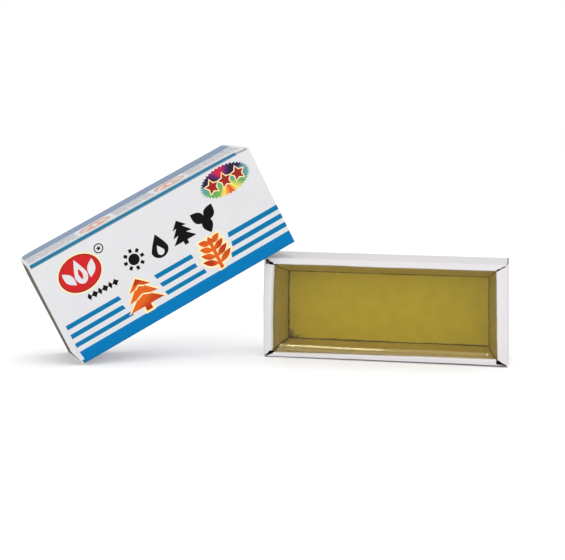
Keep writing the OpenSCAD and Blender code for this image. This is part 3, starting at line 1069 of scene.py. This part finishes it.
def sleeve():
    """The whole sleeve as one closed piece of board, with its print as separate inked faces."""
    u, v, kept, inks = blank_mesh()
    count = len(u)
    outer, inner = sleeve_shape(u, v, 0.0), sleeve_shape(u, v, BOARD)
    n_out, n_in = sleeve_normals(u, v, 0.0), sleeve_normals(u, v, BOARD)
    a, b, c = (outer[k] for k in kept[0])
    facing = np.cross(b - a, c - a) @ n_out[kept[0][0]]
    _, flat_normal = section(v)
    outward = flat_normal[:, :1] * SLEEVE_AXES[1] + flat_normal[:, 1:] * SLEEVE_AXES[2]
    if (n_out * outward).sum() < 0:
        n_out, n_in, facing = -n_out, -n_in, -facing
    if facing < 0:
        kept = [tri[::-1] for tri in kept]
    used = {(p, q) for tri in kept for p, q in zip(tri, tri[1:] + tri[:1])}
    border = sorted((p, q) for p, q in used if (q, p) not in used)
    faces = list(kept) + [tuple(k + count for k in tri[::-1]) for tri in kept]
    faces += [(q, p, p + count, q + count) for p, q in border]
    face_slots = inks + [len(INKS)] * len(kept) + [len(INKS) + 1] * len(border)
    verts = np.concatenate([outer, inner])
    normals = [tuple(n_out[k]) for tri in kept for k in tri]
    normals += [tuple(-n_in[k]) for tri in kept for k in tri[::-1]]
    for face in faces[2 * len(kept):]:
        corner = [Vector(verts[k]) for k in face]
        normals += [tuple((corner[1] - corner[0]).cross(corner[3] - corner[0]).normalized())] * 4
    front_burst = on_blank([BURST], panel_centre(FRONT), False)[0]
    back_burst = on_blank([(END - BURST[0], BURST[1])], panel_centre(BACK), True)[0]
    lookup = dict(MATERIALS, burst=burst_ink("ink_rainbow", front_burst, -1),
                  burst_back=burst_ink("ink_rainbow_back", back_burst, 1))
    materials = [lookup[ink] for ink in INKS] + [MATERIALS["grey"], MATERIALS["core"]]
    replaced = [f"sleeve_{panel}_panel" for panel in ("front", "back", "top", "bottom")]
    replaced.append("sleeve_glue_flap")
    piece = new_piece("sleeve_printed_blank", verts, faces, materials, face_slots,
                      "sleeve", replaced, normals)
    uv = piece.data.uv_layers.new(name="blank")
    loops = np.empty(len(piece.data.loops), np.int32)
    piece.data.loops.foreach_get("vertex_index", loops)
    coords = np.stack([np.tile(u, 2), np.tile(v, 2)], -1)[loops] / UV_METRES
    uv.data.foreach_set("uv", coords.astype(np.float32).reshape(-1))
    return piece


def burst_ink(name, centre, upright):
    """The rainbow of the serrated oval: colours that turn round its centre on the blank."""
    m = Nodes(name)
    uv = m.add("UVMap", uv_map="blank").outputs["UV"]
    half_w, half_h = BURST_SIZE[0] * MM / UV_METRES, BURST_SIZE[1] * MM / UV_METRES
    mapping = m.add("Mapping", {"Vector": uv, "Location": (*(Vector(centre) / UV_METRES), 0),
                                "Scale": (half_w, upright * half_h, 1)}, vector_type="TEXTURE")
    turn = m.add("TexGradient", {"Vector": mapping.outputs["Vector"]}, gradient_type="RADIAL")
    teal, green, yellow = srgb(84, 140, 152), srgb(98, 158, 82), srgb(226, 204, 92)
    orange, red, crimson = srgb(222, 122, 38), srgb(196, 58, 30), srgb(186, 28, 66)
    navy, purple = srgb(28, 22, 56), srgb(90, 28, 92)
    rainbow = m.ramp(turn.outputs["Fac"], [
        (0.0, teal), (0.08, green), (0.16, green), (0.2, yellow), (0.235, orange), (0.265, red),
        (0.3, yellow), (0.37, green), (0.48, teal), (0.55, teal), (0.6, navy), (0.67, navy), (0.71, purple),
        (0.75, crimson), (0.79, crimson), (0.83, purple), (0.88, navy), (0.94, navy), (0.97, teal)])
    m.set(Base_Color=rainbow, Roughness=0.5, Specular_IOR_Level=0.2)
    m.bump(m.noise(5200, 2.0), 0.000012)
    return m.material


# ---- camera, lights and floor
CAMERA_AT = Vector((0.04032, -0.40954, 0.06792))
CAMERA_HEADING = math.radians(10.338)
CAMERA_PITCH = math.radians(6.126)
CAMERA_ROLL = math.radians(0.866)
FOCAL_LENGTH = 82.83


def camera():
    data = bpy.data.cameras.new("camera")
    data.lens = FOCAL_LENGTH
    data.clip_start, data.clip_end = 0.01, 50
    turn = (Matrix.Rotation(CAMERA_HEADING, 4, "Z") @ Matrix.Rotation(math.pi / 2 - CAMERA_PITCH, 4, "X")
            @ Matrix.Rotation(CAMERA_ROLL, 4, "Z"))
    cam = bpy.data.objects.new("camera", data)
    cam.matrix_world = Matrix.Translation(CAMERA_AT) @ turn
    bpy.context.scene.collection.objects.link(cam)
    bpy.context.scene.camera = cam


def area_light(name, at, target, size, power):
    data = bpy.data.lights.new(name, "AREA")
    data.shape = "RECTANGLE"
    data.size, data.size_y = size
    data.energy = power
    lamp = bpy.data.objects.new(name, data)
    lamp.location = at
    lamp.rotation_euler = (Vector(target) - Vector(at)).to_track_quat("-Z", "Y").to_euler()
    bpy.context.scene.collection.objects.link(lamp)


def studio():
    scene = bpy.context.scene
    scene.view_settings.view_transform = "Standard"
    world = bpy.data.worlds.new("white_surround")
    scene.world = world
    world.use_nodes = True
    world.node_tree.nodes["Background"].inputs["Color"].default_value = (1, 1, 1, 1)
    world.node_tree.nodes["Background"].inputs["Strength"].default_value = 1.0
    area_light("top_softbox", (0.0, -0.45, 0.62), (0, 0, 0.02), (0.5, 0.35), 0.7)
    area_light("front_softbox", (-0.08, -0.95, 0.36), (0, 0, 0.015), (0.4, 0.36), 1.1)
    area_light("front_lamp", (-0.111, -0.70, 0.23), (0, 0, 0.01), (0.075, 0.11), 0.32)
    data = bpy.data.meshes.new("studio_floor")
    half = 8.0
    corners = [(-half, -half, 0), (half, -half, 0), (half, half, 0), (-half, half, 0)]
    data.from_pydata(corners, [], [(0, 1, 2, 3)])
    floor = bpy.data.objects.new("studio_floor", data)
    scene.collection.objects.link(floor)
    m = Nodes("studio_floor_white")
    m.set(Base_Color=(0.93, 0.93, 0.93, 1), Roughness=0.9)
    m.set(Emission_Color=(1, 1, 1, 1), Emission_Strength=0.12)
    data.materials.append(m.material)


# ---- building
camera()
folded_wall("lower", 0.35 * MM, RIMS["right"] + 0.1 * MM, 0.2 * MM, 0.12 * MM, 0.22 * MM, 0.12 * MM, 11)
folded_wall("upper", 0.2 * MM, 0.6 * MM, 0.24 * MM, 0.1 * MM, 0.12 * MM, 0.0, 23)
folded_wall("left", 1.7 * MM, 0.3 * MM, 0.28 * MM, 0.2 * MM, 0.1 * MM, 0.0, 37)
folded_wall("right", 0.5 * MM, 0.2 * MM, 0.12 * MM, 0.2 * MM, 0.1 * MM, 0.0, 51)
tray_floor()
rosin_cake()
sleeve()
for corner, proud_mm, curl_mm, tab_seed in (("upper_left", 0.75, 1.3, 61), ("lower_right", 0.75, 1.1, 67),
                                            ("lower_left", 0.3, 0.3, 71), ("upper_right", 0.3, 0.3, 73)):
    corner_tab(f"tray_{corner}_tab", proud_mm * MM, curl_mm * MM, tab_seed)
frame["nodes"]["sleeve_seam_glue"].material_slots[0].material = MATERIALS["glue"]
studio()
